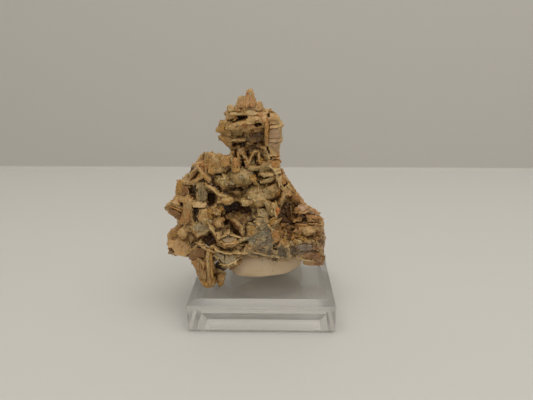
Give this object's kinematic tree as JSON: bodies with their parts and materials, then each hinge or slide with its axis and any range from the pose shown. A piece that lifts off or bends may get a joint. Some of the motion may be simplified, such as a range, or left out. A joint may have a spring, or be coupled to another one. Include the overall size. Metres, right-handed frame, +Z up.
{
  "type": "quartz pseudomorph mineral specimen on a display stand",
  "caption": "Boxwork of thin quartz blades with a small upper cluster on a narrow neck, set in putty on a clear square acrylic stand.",
  "frame": {"origin": "middle of the stand's square underside", "axes": "+Z up through the stand and the stone; +X to the right of a viewer facing the broken grey side; +Y away from that viewer"},
  "size_m": [0.0541, 0.045, 0.0718],
  "materials": {
    "bladed_quartz": "granular tan to ochre quartz crust, grey-blue where broken, dull with a faint sparkle",
    "putty": "smooth matt cream-beige mounting putty",
    "clear_acrylic": "clear polished cast acrylic with a bevelled top border"
  },
  "bodies": {
    "root": {"pseudomorph": "bladed_quartz", "mounting_putty": "putty", "acrylic_base": "clear_acrylic"}
  },
  "joints": []
}
